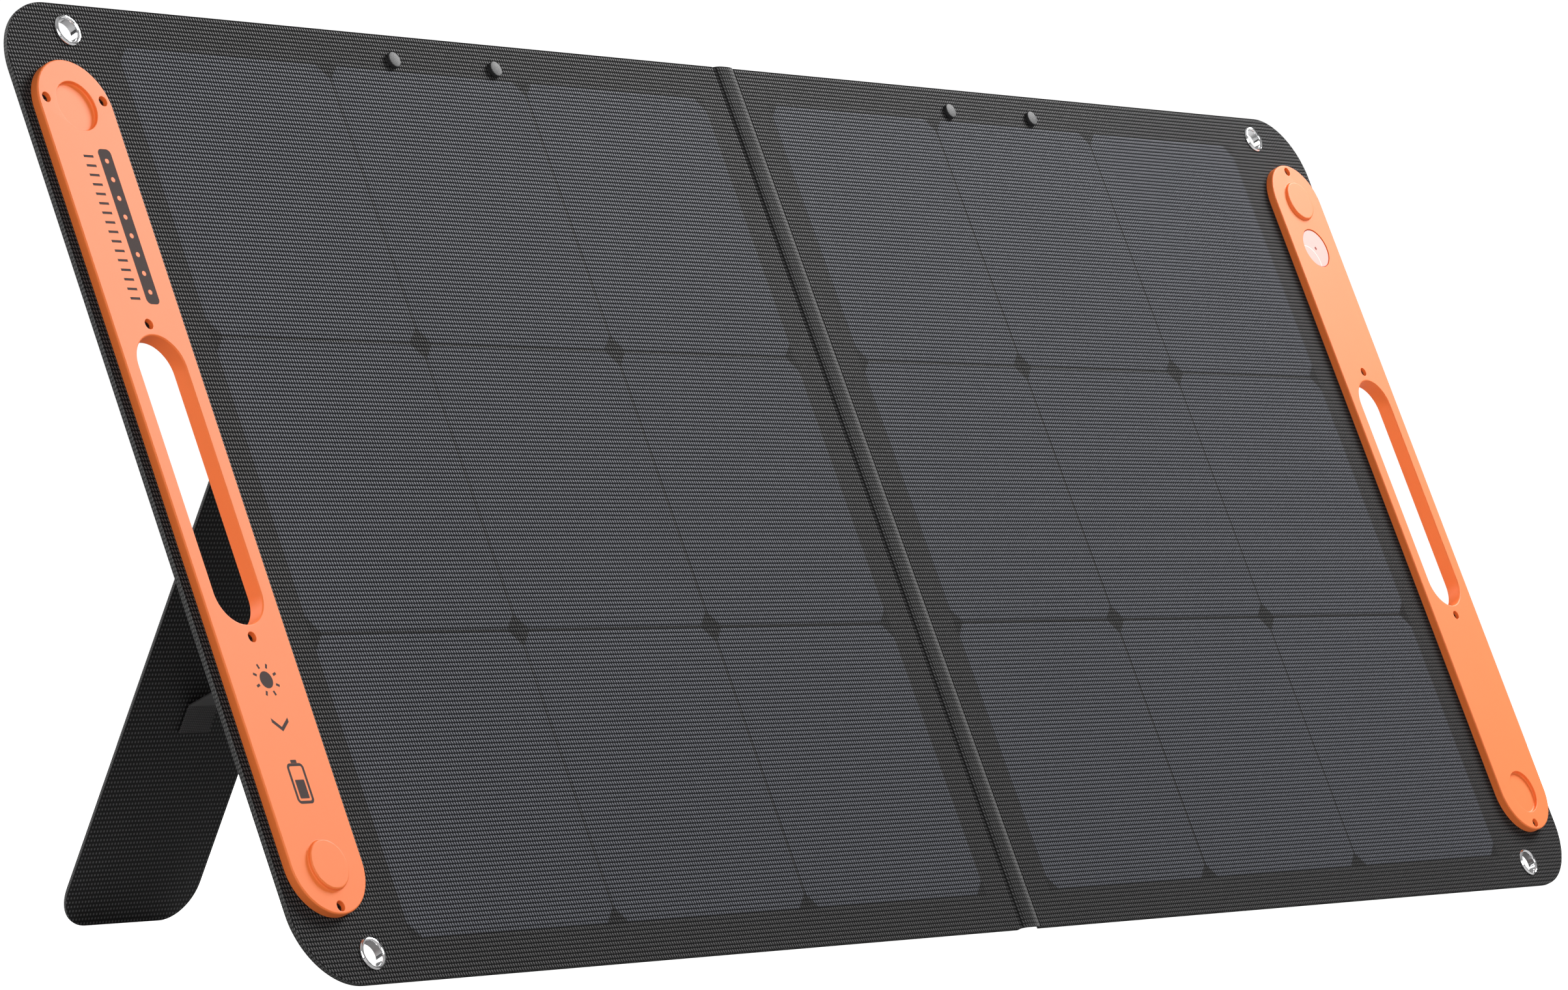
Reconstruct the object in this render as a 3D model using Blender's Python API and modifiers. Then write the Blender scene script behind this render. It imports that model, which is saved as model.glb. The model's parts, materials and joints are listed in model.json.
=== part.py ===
"""Folding camping solar panel, standing open on its kickstands.

Metres, +Z up. The ground is Z = 0, X runs along the width and the panel leans back towards +Y.
Most sizes are given in panel coordinates: u along the width from the fold, v up the panel's face
from its bottom edge, w out of the front face. A body's pieces hang from one empty each, and the
empty of a moving body sits on its hinge axis.
"""

import math

import bmesh
import bpy
from mathutils import Matrix, Vector

# Panel halves
HALF_INNER = 0.010
HALF_OUTER = 0.610
PANEL_HEIGHT = 0.5385
CORNER_RADIUS = 0.040
PANEL_THICKNESS = 0.0034
SHEET_THICKNESS = 0.0008
TILT = math.radians(23.9)
GAP = 0.0003

# Solar cells, three by three in each half
CELL_PITCH = 0.1652
CELL_SIZE = 0.1638
CELL_CORNER = 0.008
CELL_THICKNESS = 0.0003
CELL_FIELD_U = 0.2788
CELL_FIELD_V = 0.2690

# Fold strip between the halves, and the two lines that it turns about
STRIP_HALF_WIDTH = 0.0097
STRIP_RISE = 0.0016
STRIP_BACK = -0.0014
STRIP_END_GAP = 0.0002
FOLD_LINE_U = 0.00535

# Handles
HANDLE_U = 0.5768
HANDLE_V = 0.2690
HANDLE_WIDTH = 0.0535
HANDLE_LENGTH = 0.4675
HANDLE_BASE = 0.0002
HANDLE_FACE = 0.0052
HAND_SLOT_WIDTH = 0.0345
HAND_SLOT_LENGTH = 0.158
COLLAR_WALL = 0.002
COLLAR_END = -0.0042
BACK_PLATE_FRONT = -0.0036
BACK_PLATE_BACK = -0.0043
CLOSURE_LOW_V = 0.0610
CLOSURE_HIGH_V = 0.4765
RECESS_RADIUS = 0.0138
RECESS_FLOOR = 0.0031
BOSS_RADIUS = 0.0133
BOSS_FACE = 0.0071
MAGNET_RADIUS = 0.009
SCREW_HEAD_HOLE = 0.0028
SCREW_HOLE = 0.0017
SCREW_SEAT = 0.0024
LEFT_SCREWS = (
    (-0.5976, 0.4803),
    (-0.5560, 0.4803),
    (-HANDLE_U, 0.3543),
    (-HANDLE_U, 0.1831),
    (-HANDLE_U, 0.0395),
)
RIGHT_SCREWS = (
    (HANDLE_U, 0.4980),
    (HANDLE_U, 0.3543),
    (HANDLE_U, 0.1831),
    (HANDLE_U, 0.0395),
)

# Sun-angle dial in the right handle
DIAL_V = 0.4430
DIAL_RADIUS = 0.0135
DIAL_FLOOR = 0.0014
DIAL_FACE = 0.0047

# Eyelets and rivets
EYELET_U = 0.5590
EYELET_VS = (0.0155, 0.5230)
EYELET_HOLE = 0.0071
EYELET_BARREL = 0.0077
EYELET_RIM = 0.0087
RIVET_V = 0.5225
RIVET_SPACING = 0.0866
RIVET_HEAD = 0.0044
RIVET_SHANK = 0.0020
RIVET_HOLE = 0.0023

# Kickstands: hinge line near the top of the back, foot on the ground
KICK_U = 0.2605
KICK_WIDTH = 0.110
KICK_LENGTH = 0.538
KICK_THICKNESS = 0.0024
KICK_TOP_GAP = 0.002
KICK_FOOT_RADIUS = 0.024
KICK_AXIS_V = 0.534
KICK_AXIS_W = -0.0060
TAPE_BOTTOM_V = 0.506
TAPE_THICKNESS = 0.0010

# Stay straps
STRAP_U = 0.258
STRAP_WIDTH = 0.025
STRAP_THICKNESS = 0.0014
STRAP_KINK = 0.4002
STRAP_END = 0.4172
STRAP_PANEL_TAB = 0.020

# Junction box on the back of the left half
BOX_U = -0.125
BOX_V = 0.300
BOX_WIDTH = 0.090
BOX_HEIGHT = 0.060
BOX_DEPTH = 0.012
SOCKET_RADIUS = 0.0056
SOCKET_BORE = 0.0042
SOCKET_LENGTH = 0.010

COLORS = {
    "laminate_board": (0.020, 0.020, 0.022, 1.0, 0.70, 0.0),
    "front_sheet": (0.060, 0.062, 0.070, 1.0, 0.55, 0.0),
    "solar_cell": (0.045, 0.055, 0.085, 1.0, 0.30, 0.0),
    "fold_fabric": (0.050, 0.050, 0.054, 1.0, 0.80, 0.0),
    "orange_plastic": (0.950, 0.300, 0.090, 1.0, 0.50, 0.0),
    "bright_metal": (0.800, 0.800, 0.810, 1.0, 0.20, 1.0),
    "dark_metal": (0.100, 0.100, 0.105, 1.0, 0.40, 1.0),
    "kickstand_fabric": (0.020, 0.020, 0.021, 1.0, 0.85, 0.0),
    "webbing": (0.050, 0.050, 0.052, 1.0, 0.80, 0.0),
    "dial_plastic": (0.950, 0.700, 0.640, 0.6, 0.30, 0.0),
    "black_plastic": (0.025, 0.025, 0.027, 1.0, 0.50, 0.0),
}


def clear_scene():
    for item in list(bpy.data.objects):
        bpy.data.objects.remove(item, do_unlink=True)


def collection(name, hidden=False):
    group = bpy.data.collections.new(name)
    group.hide_render = hidden
    bpy.context.scene.collection.children.link(group)
    return group


def material(name):
    found = bpy.data.materials.get(name)
    if found:
        return found
    red, green, blue, alpha, roughness, metallic = COLORS[name]
    made = bpy.data.materials.new(name)
    made.use_nodes = True
    shader = made.node_tree.nodes["Principled BSDF"]
    shader.inputs["Base Color"].default_value = (red, green, blue, 1.0)
    shader.inputs["Roughness"].default_value = roughness
    shader.inputs["Metallic"].default_value = metallic
    shader.inputs["Alpha"].default_value = alpha
    return made


def clean(mesh, merge=1e-6):
    """Join the caps to the sides and turn the faces outwards."""
    shape = bmesh.new()
    shape.from_mesh(mesh)
    bmesh.ops.remove_doubles(shape, verts=shape.verts, dist=merge)
    bmesh.ops.recalc_face_normals(shape, faces=shape.faces)
    shape.to_mesh(mesh)
    shape.free()


def add(name, mesh, frame, location, paint):
    """One sub-part, hung from its body's empty."""
    item = bpy.data.objects.new(name, mesh)
    item.data.materials.append(material(paint))
    PARTS.objects.link(item)
    item.parent = frame
    item.location = location
    return item


def empty(name, matrix):
    item = bpy.data.objects.new(name, None)
    item.empty_display_size = 0.05
    PARTS.objects.link(item)
    item.matrix_world = matrix
    return item


def arc(centre, radius, start, end, steps):
    """Points on an arc, in degrees, both ends included."""
    points = []
    for step in range(steps + 1):
        angle = math.radians(start + (end - start) * step / steps)
        points.append((centre[0] + radius * math.cos(angle), centre[1] + radius * math.sin(angle)))
    return points


def circle(centre, radius, steps):
    return arc(centre, radius, 0, 360 - 360 / steps, steps - 1)


def stadium(centre, width, length, steps=12):
    """An upright slot outline with half-round ends."""
    radius = width / 2
    straight = length / 2 - radius
    top = arc((centre[0], centre[1] + straight), radius, 0, 180, steps)
    bottom = arc((centre[0], centre[1] - straight), radius, 180, 360, steps)
    return top + bottom


def rectangle(low, high):
    return [(low[0], low[1]), (high[0], low[1]), (high[0], high[1]), (low[0], high[1])]


def flat_shape(outlines, thickness):
    """A flat solid: the first outline is the outside and the others are holes."""
    curve = bpy.data.curves.new("outline", "CURVE")
    curve.dimensions = "2D"
    curve.fill_mode = "BOTH"
    curve.extrude = thickness / 2
    for outline in outlines:
        spline = curve.splines.new("POLY")
        spline.points.add(len(outline) - 1)
        for point, place in zip(spline.points, outline):
            point.co = (place[0], place[1], 0, 1)
        spline.use_cyclic_u = True
    holder = bpy.data.objects.new("outline", curve)
    bpy.context.scene.collection.objects.link(holder)
    bpy.context.view_layer.update()
    graph = bpy.context.evaluated_depsgraph_get()
    mesh = bpy.data.meshes.new_from_object(holder.evaluated_get(graph))
    bpy.data.objects.remove(holder, do_unlink=True)
    clean(mesh)
    return mesh


def plate(name, outlines, low, high, frame, paint, shift=(0, 0)):
    """A flat piece between two heights over its frame."""
    mesh = flat_shape(outlines, high - low)
    return add(name, mesh, frame, (shift[0], shift[1], (low + high) / 2), paint)


def profile_bar(name, outline, width, frame, place, paint):
    """An outline in the panel's v and w, extruded along the width."""
    mesh = flat_shape([outline], width)
    mesh.transform(Matrix(((0, 0, 1, 0), (1, 0, 0, 0), (0, 1, 0, 0), (0, 0, 0, 1))))
    clean(mesh)
    return add(name, mesh, frame, place, paint)


def turned(name, profile, frame, place, paint, steps=24, closed=False):
    """A round piece about its own w axis; the profile is (radius, w)."""
    mesh = bpy.data.meshes.new(name)
    points = [(radius, 0, height) for radius, height in profile]
    edges = [(index, index + 1) for index in range(len(points) - 1)]
    if closed:
        edges.append((len(points) - 1, 0))
    mesh.from_pydata(points, edges, [])
    item = add(name, mesh, frame, place, paint)
    screw = item.modifiers.new("turn", "SCREW")
    screw.axis = "Z"
    screw.steps = steps
    screw.render_steps = steps
    screw.use_merge_vertices = True
    screw.merge_threshold = 0.00001
    screw.use_normal_calculate = False
    return item


def cutter(name, mesh, frame, place):
    item = bpy.data.objects.new(name, mesh)
    CUTTERS.objects.link(item)
    item.hide_render = True
    item.display_type = "WIRE"
    item.parent = frame
    item.location = place
    return item


def boolean(item, tool, operation="DIFFERENCE"):
    step = item.modifiers.new(tool.name, "BOOLEAN")
    step.operation = operation
    step.solver = "EXACT"
    step.use_self = True
    step.object = tool
    return step


def drill(item, name, centres, radius, low, high, frame, steps=16):
    """Round holes along w, all of one radius."""
    tools = bpy.data.meshes.new(name)
    shape = bmesh.new()
    for centre in centres:
        place = Matrix.Translation((centre[0], centre[1], (low + high) / 2))
        bmesh.ops.create_cone(
            shape,
            cap_ends=True,
            segments=steps,
            radius1=radius,
            radius2=radius,
            depth=high - low,
            matrix=place,
        )
    shape.to_mesh(tools)
    shape.free()
    boolean(item, cutter(name, tools, frame, (0, 0, 0)))


def mirrored(points, side):
    """Points given for the right half, turned over for the left half when side is -1."""
    return [(side * point[0], point[1]) for point in points]


def half_outline(side):
    """One half: square at the fold, rounded at the outer corners."""
    radius = CORNER_RADIUS
    centre_u = HALF_OUTER - radius
    points = [(HALF_INNER, 0)]
    points += arc((centre_u, radius), radius, -90, 0, 10)
    points += arc((centre_u, PANEL_HEIGHT - radius), radius, 0, 90, 10)
    points += [(HALF_INNER, PANEL_HEIGHT)]
    return mirrored(points, side)


def half_holes(side, screws):
    """Every hole that goes right through a half, apart from the screws of its own handle."""
    slot = stadium(
        (side * HANDLE_U, HANDLE_V),
        HAND_SLOT_WIDTH + 2 * (COLLAR_WALL + GAP),
        HAND_SLOT_LENGTH + 2 * (COLLAR_WALL + GAP),
    )
    holes = [slot]
    for v in EYELET_VS:
        holes.append(circle((side * EYELET_U, v), EYELET_BARREL + GAP, 24))
    for step in (-1, 1):
        holes.append(circle((side * KICK_U + step * RIVET_SPACING / 2, RIVET_V), RIVET_HOLE, 12))
    for place in screws:
        holes.append(circle(place, SCREW_HOLE, 12))
    return holes


def build_laminate(label, side, screws, frame, shift):
    """The board with its cell pocket, the cells in it and the woven-look sheet over them."""
    outlines = [half_outline(side)] + half_holes(side, screws)
    sheet_back = -SHEET_THICKNESS
    board_front = sheet_back - 0.00015
    plate(f"{label}_front_sheet", outlines, sheet_back, 0, frame, "front_sheet", shift)
    board = plate(
        f"{label}_board", outlines, -PANEL_THICKNESS, board_front, frame, "laminate_board", shift
    )
    pocket_depth = CELL_THICKNESS + 0.0003
    reach = 1.5 * CELL_PITCH
    centre = (side * CELL_FIELD_U + shift[0], CELL_FIELD_V + shift[1])
    pocket = flat_shape([rectangle((-reach, -reach), (reach, reach))], 2 * pocket_depth)
    boolean(board, cutter(f"{label}_cell_pocket", pocket, frame, (centre[0], centre[1], board_front)))
    for row in range(3):
        for column in range(3):
            build_cell(label, row, column, centre, board_front - 0.00015, frame)


def build_cell(label, row, column, centre, face, frame):
    """A square wafer with cut corners, so that four neighbours leave a diamond."""
    edge = CELL_SIZE / 2
    cut = edge - CELL_CORNER
    outline = [(cut, -edge), (edge, -cut), (edge, cut), (cut, edge)]
    outline += [(-cut, edge), (-edge, cut), (-edge, -cut), (-cut, -edge)]
    place_u = centre[0] + (column - 1) * CELL_PITCH
    place_v = centre[1] + (1 - row) * CELL_PITCH
    plate(
        f"{label}_cell_row{row + 1}_column{column + 1}",
        [outline],
        face - CELL_THICKNESS,
        face,
        frame,
        "solar_cell",
        (place_u, place_v),
    )


def build_handle(label, side, screws, recess_v, boss_v, frame, shift):
    """Front shell with a collar that lines the hand slot, and the plate that backs it."""
    centre = (side * HANDLE_U, HANDLE_V)
    outer = stadium(centre, HANDLE_WIDTH, HANDLE_LENGTH, 20)
    slot = stadium(centre, HAND_SLOT_WIDTH, HAND_SLOT_LENGTH, 16)
    holes = [circle(place, SCREW_HOLE, 12) for place in screws]
    shell = plate(
        f"{label}_handle", [outer, slot] + holes, HANDLE_BASE, HANDLE_FACE, frame, "orange_plastic", shift
    )
    soften_face(shell)

    wall = 2 * COLLAR_WALL
    collar_outer = stadium(centre, HAND_SLOT_WIDTH + wall, HAND_SLOT_LENGTH + wall, 16)
    collar_top = HANDLE_BASE + 0.001
    collar = flat_shape([collar_outer, slot], collar_top - COLLAR_END)
    middle = (collar_top + COLLAR_END) / 2
    boolean(shell, cutter(f"{label}_collar", collar, frame, (shift[0], shift[1], middle)), "UNION")

    boss = flat_shape([circle((0, 0), BOSS_RADIUS, 32)], BOSS_FACE - HANDLE_FACE + 0.001)
    boss_place = (centre[0] + shift[0], boss_v + shift[1], (BOSS_FACE + HANDLE_FACE - 0.001) / 2)
    boolean(shell, cutter(f"{label}_boss", boss, frame, boss_place), "UNION")

    at = (centre[0] + shift[0], recess_v + shift[1])
    drill(shell, f"{label}_recess", [at], RECESS_RADIUS, RECESS_FLOOR, 0.02, frame, 32)
    drill(shell, f"{label}_keeper_pocket", [at], MAGNET_RADIUS + GAP, -0.01, 0.0011, frame, 24)
    under_boss = (centre[0] + shift[0], boss_v + shift[1])
    drill(shell, f"{label}_magnet_pocket", [under_boss], MAGNET_RADIUS + GAP, -0.01, HANDLE_FACE, frame, 24)
    heads = [(place[0] + shift[0], place[1] + shift[1]) for place in screws]
    drill(shell, f"{label}_screw_wells", heads, SCREW_HEAD_HOLE, SCREW_SEAT, 0.015, frame, 18)

    clearance = wall + 2 * GAP
    plate_slot = stadium(centre, HAND_SLOT_WIDTH + clearance, HAND_SLOT_LENGTH + clearance, 16)
    plate_outer = stadium(centre, HANDLE_WIDTH - 0.002, HANDLE_LENGTH - 0.002, 20)
    plate(
        f"{label}_handle_back_plate",
        [plate_outer, plate_slot] + holes,
        BACK_PLATE_BACK,
        BACK_PLATE_FRONT,
        frame,
        "orange_plastic",
        shift,
    )
    keeper = [(0, 0.0010), (MAGNET_RADIUS, 0.0010), (MAGNET_RADIUS, 0.0003), (0, 0.0003)]
    turned(f"{label}_closure_keeper", keeper, frame, (at[0], at[1], 0), "dark_metal")
    magnet = [(0, 0.0050), (MAGNET_RADIUS, 0.0050), (MAGNET_RADIUS, 0.0006), (0, 0.0006)]
    turned(f"{label}_closure_magnet", magnet, frame, (under_boss[0], under_boss[1], 0), "dark_metal")
    for number, place in enumerate(heads, 1):
        build_screw(f"{label}_handle_screw_{number}", place, frame)
    return shell


def soften_face(item, width=0.0008):
    """A small rounding on the edges of the front face, round the outside and the slot."""
    mesh = item.data
    top = max(point.co.z for point in mesh.vertices)
    weights = mesh.attributes.new("bevel_weight_edge", "FLOAT", "EDGE")
    for edge in mesh.edges:
        ends = [mesh.vertices[index].co for index in edge.vertices]
        on_face = all(abs(end.z - top) < 1e-6 for end in ends)
        weights.data[edge.index].value = 1.0 if on_face and on_rim(*ends) else 0.0
    step = item.modifiers.new("soften", "BEVEL")
    step.limit_method = "WEIGHT"
    step.width = width
    step.segments = 2


def on_rim(first, last):
    """True along the two long outlines, false across the face and on the small holes."""
    middle = (first + last) / 2
    for width, length in ((HANDLE_WIDTH, HANDLE_LENGTH), (HAND_SLOT_WIDTH, HAND_SLOT_LENGTH)):
        offs = [abs(stadium_distance(point, width, length)) for point in (first, last, middle)]
        if offs[0] < 1e-5 and offs[1] < 1e-5:
            return offs[2] < 0.0004
    return False


def stadium_distance(point, width, length):
    """How far a point of a handle's face lies outside an upright slot outline."""
    straight = length / 2 - width / 2
    along = max(-straight, min(straight, point.y - HANDLE_V))
    offset = Vector((abs(point.x) - HANDLE_U, point.y - HANDLE_V - along))
    return offset.length - width / 2


def build_screw(name, place, frame):
    """A pan head at the bottom of its well and a shank down to the back plate."""
    head = 0.0024
    shank = 0.0013
    seat = SCREW_SEAT + 0.0001
    profile = [(0, seat + 0.0010), (head * 0.7, seat + 0.0010), (head, seat + 0.0005), (head, seat)]
    profile += [(shank, seat), (shank, BACK_PLATE_BACK), (0, BACK_PLATE_BACK)]
    turned(name, profile, frame, (place[0], place[1], 0), "dark_metal", 12)


def build_eyelet(name, place, frame):
    """A flanged barrel, rolled over at the front and at the back."""
    front = 0.0002
    back = -PANEL_THICKNESS - 0.0002
    rise = 0.0011
    profile = [(EYELET_HOLE, front + 0.0004), (EYELET_HOLE + 0.0003, front + 0.0009)]
    profile += [(EYELET_BARREL, front + rise), (EYELET_RIM - 0.0003, front + 0.0007)]
    profile += [(EYELET_RIM, front), (EYELET_BARREL, front), (EYELET_BARREL, back)]
    profile += [(EYELET_RIM, back), (EYELET_RIM - 0.0003, back - 0.0006)]
    profile += [(EYELET_HOLE, back - 0.0008)]
    turned(name, profile, frame, (place[0], place[1], 0), "bright_metal", 24, closed=True)


def build_rivet(name, place, frame):
    """A short round post on the front, a shank through panel and tape, and a flat tail."""
    face = 0.0034
    tail_front = -PANEL_THICKNESS - GAP - TAPE_THICKNESS - 0.0002
    tail_back = tail_front - 0.0008
    profile = [(0, face), (RIVET_HEAD - 0.0004, face), (RIVET_HEAD, face - 0.0004)]
    profile += [(RIVET_HEAD, 0.0002), (RIVET_SHANK, 0.0002), (RIVET_SHANK, tail_front)]
    profile += [(0.0035, tail_front), (0.0035, tail_back), (0, tail_back)]
    turned(name, profile, frame, (place[0], place[1], 0), "dark_metal", 24)


def build_tape(label, side, frame, shift):
    """Flat fabric tape under the rivets, with a turned-up end on the kickstand's hinge line."""
    front = -PANEL_THICKNESS - GAP
    back = front - TAPE_THICKNESS
    end_low = KICK_AXIS_V - 0.0008
    end_high = KICK_AXIS_V + 0.0009
    outline = [(TAPE_BOTTOM_V, front), (end_high, front), (end_high, KICK_AXIS_W - 0.0006)]
    outline += [(KICK_AXIS_V - 0.0004, KICK_AXIS_W - 0.0009), (end_low, KICK_AXIS_W - 0.0002)]
    outline += [(end_low, back), (TAPE_BOTTOM_V, back)]
    place = (side * KICK_U + shift[0], shift[1], 0)
    width = KICK_WIDTH - 0.006
    tape = profile_bar(f"{label}_hinge_tape", outline, width, frame, place, "kickstand_fabric")
    centres = []
    for step in (-1, 1):
        centres.append((side * KICK_U + step * RIVET_SPACING / 2 + shift[0], RIVET_V + shift[1]))
    drill(tape, f"{label}_tape_holes", centres, RIVET_HOLE, back - 0.001, front + 0.001, frame, 12)
    for name, centre in zip(("a", "b"), centres):
        build_rivet(f"{label}_rivet_{name}", centre, frame)


def kick_lean():
    """How far a kickstand leans from upright, so that its foot is on the ground."""
    height = KICK_AXIS_V * math.cos(TILT) + (KICK_AXIS_W + PANEL_THICKNESS) * math.sin(TILT)
    return math.acos(height / KICK_LENGTH)


def build_kickstand(label, frame):
    """A stiff board with a rounded foot. Its own frame has the hinge line at y = 0."""
    half = KICK_WIDTH / 2
    radius = KICK_FOOT_RADIUS
    foot = -KICK_LENGTH
    outline = [(-half, -KICK_TOP_GAP)]
    outline += arc((-half + radius, foot + radius), radius, 180, 270, 10)
    outline += arc((half - radius, foot + radius), radius, 270, 360, 10)
    outline += [(half, -KICK_TOP_GAP)]
    plate(f"{label}_kickstand_board", [outline], -KICK_THICKNESS, 0, frame, "kickstand_fabric")


def build_strap(label, side, frame, shift):
    """Webbing from a tab on the panel's back, square to the panel, to a tab sewn on the kickstand."""
    opening = TILT + kick_lean()
    down = Vector((-math.cos(opening), -math.sin(opening)))
    towards = Vector((-math.sin(opening), math.cos(opening)))
    axis = Vector((KICK_AXIS_V, KICK_AXIS_W))
    kink = axis + down * STRAP_KINK
    end = axis + down * STRAP_END
    near = GAP
    far = GAP + STRAP_THICKNESS
    upper = kink.x + STRAP_THICKNESS / 2
    lower = kink.x - STRAP_THICKNESS / 2
    front = -PANEL_THICKNESS - GAP
    back = front - STRAP_THICKNESS
    outline = [(upper + STRAP_PANEL_TAB, front), (upper + STRAP_PANEL_TAB, back), (upper, back)]
    outline.append(meeting(upper, axis + towards * near, down))
    outline += [tuple(end + towards * near), tuple(end + towards * far)]
    outline.append(meeting(lower, axis + towards * far, down))
    outline.append((lower, front))
    place = (side * STRAP_U + shift[0], shift[1], 0)
    profile_bar(f"{label}_stay_strap", outline, STRAP_WIDTH, frame, place, "webbing")


def meeting(level, start, direction):
    """Where a line crosses a given v."""
    reach = (level - start.x) / direction.x
    return (level, start.y + direction.y * reach)


def build_fold_strip(frame):
    """The soft ridge between the halves, bulging forward."""
    points = [(STRIP_HALF_WIDTH, STRIP_BACK)]
    steps = 16
    for step in range(steps + 1):
        share = 1 - 2 * step / steps
        points.append((share * STRIP_HALF_WIDTH, STRIP_RISE * (1 - abs(share) ** 3)))
    points.append((-STRIP_HALF_WIDTH, STRIP_BACK))
    length = PANEL_HEIGHT - 2 * STRIP_END_GAP
    mesh = flat_shape([points], length)
    mesh.transform(Matrix(((1, 0, 0, 0), (0, 0, 1, 0), (0, 1, 0, 0), (0, 0, 0, 1))))
    clean(mesh)
    add("fold_strip", mesh, frame, (FOLD_LINE_U, PANEL_HEIGHT / 2, 0), "fold_fabric")


def build_dial(frame, shift, shell):
    """A clear disc with a sighting hole over a plain target disc."""
    place = (HANDLE_U + shift[0], DIAL_V + shift[1])
    drill(shell, "dial_well", [place], DIAL_RADIUS, DIAL_FLOOR, 0.02, frame, 32)
    radius = DIAL_RADIUS - GAP
    target = [(0, DIAL_FLOOR + 0.0008), (radius, DIAL_FLOOR + 0.0008)]
    target += [(radius, DIAL_FLOOR + 0.0002), (0, DIAL_FLOOR + 0.0002)]
    turned("sun_dial_target", target, frame, (place[0], place[1], 0), "dial_plastic")
    lens = [(0.0012, DIAL_FACE), (radius, DIAL_FACE)]
    lens += [(radius, DIAL_FACE - 0.0014), (0.0012, DIAL_FACE - 0.0014)]
    turned("sun_dial_lens", lens, frame, (place[0], place[1], 0), "dial_plastic", 24, closed=True)


def build_junction_box(frame):
    """A shallow box on the back with one round output socket facing the fold."""
    front = -PANEL_THICKNESS - GAP
    half_width = BOX_WIDTH / 2
    half_height = BOX_HEIGHT / 2
    corner = 0.006
    outline = []
    for side_u, side_v, start in ((1, 1, 0), (-1, 1, 90), (-1, -1, 180), (1, -1, 270)):
        centre = (side_u * (half_width - corner), side_v * (half_height - corner))
        outline += arc(centre, corner, start, start + 90, 4)
    plate(
        "junction_box", [outline], front - BOX_DEPTH, front, frame, "black_plastic", (BOX_U, BOX_V)
    )
    bore = circle((0, 0), SOCKET_BORE, 16)
    ring = flat_shape([circle((0, 0), SOCKET_RADIUS, 24), bore], SOCKET_LENGTH)
    floor = flat_shape([circle((0, 0), SOCKET_RADIUS, 24)], 0.002)
    across = Matrix.Rotation(math.radians(90), 4, "Y")
    ring.transform(across)
    floor.transform(across)
    mouth = BOX_U + half_width + GAP + SOCKET_LENGTH / 2
    middle = front - BOX_DEPTH / 2 - 0.0003
    socket = add("output_socket", ring, frame, (mouth + 0.001, BOX_V, middle), "black_plastic")
    base = (BOX_U + half_width + GAP + 0.001, BOX_V, middle)
    boolean(socket, cutter("output_socket_floor", floor, frame, base), "UNION")


clear_scene()
PARTS = collection("folding_solar_panel")
CUTTERS = collection("cutters", hidden=True)

LEAN = kick_lean()
foot_y = KICK_AXIS_V * math.sin(TILT) - KICK_AXIS_W * math.cos(TILT) + KICK_LENGTH * math.sin(LEAN)
back_y = foot_y + KICK_THICKNESS * math.cos(LEAN)
front_y = STRIP_END_GAP * math.sin(TILT) - STRIP_RISE * math.cos(TILT)
ground = PANEL_THICKNESS * math.sin(TILT)
centred = Matrix.Translation((0, -(front_y + back_y) / 2, ground))
PANEL = centred @ Matrix.Rotation(math.pi / 2 - TILT, 4, "X")

left_frame = empty("left_half_frame", PANEL)
spine_frame = empty("fold_spine_frame", PANEL @ Matrix.Translation((-FOLD_LINE_U, 0, 0)))
right_frame = empty("right_half_frame", PANEL @ Matrix.Translation((FOLD_LINE_U, 0, 0)))
RIGHT_SHIFT = (-FOLD_LINE_U, 0)

for label, side, frame, shift, screws, recess_v, boss_v in (
    ("left", -1, left_frame, (0, 0), LEFT_SCREWS, CLOSURE_HIGH_V, CLOSURE_LOW_V),
    ("right", 1, right_frame, RIGHT_SHIFT, RIGHT_SCREWS, CLOSURE_LOW_V, CLOSURE_HIGH_V),
):
    build_laminate(label, side, screws, frame, shift)
    handle = build_handle(label, side, screws, recess_v, boss_v, frame, shift)
    if label == "right":
        build_dial(frame, shift, handle)
    for name, v in zip(("bottom", "top"), EYELET_VS):
        build_eyelet(f"{label}_eyelet_{name}", (side * EYELET_U + shift[0], v), frame)
    build_tape(label, side, frame, shift)
    build_strap(label, side, frame, shift)
    hinge = PANEL @ Matrix.Translation((side * KICK_U, KICK_AXIS_V, KICK_AXIS_W))
    hinge = hinge @ Matrix.Rotation(TILT + LEAN, 4, "X")
    build_kickstand(label, empty(f"{label}_kickstand_frame", hinge))

build_fold_strip(spine_frame)
build_junction_box(left_frame)
bpy.context.view_layer.update()
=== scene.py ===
"""A folding camping solar panel standing on its kickstands: its looks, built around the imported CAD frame.

Two laminated halves carry nine cells each under a sheet with a woven look. A fabric strip joins them. Each
half has an orange handle and a board kickstand that a webbing strap holds open. Lengths are in metres.

Panel axes: u runs along the panel to the right, v up its face, and w straight out of its front.
"""

import collections
import json
import math

import bmesh
import bpy
from mathutils import Matrix, Vector


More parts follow.
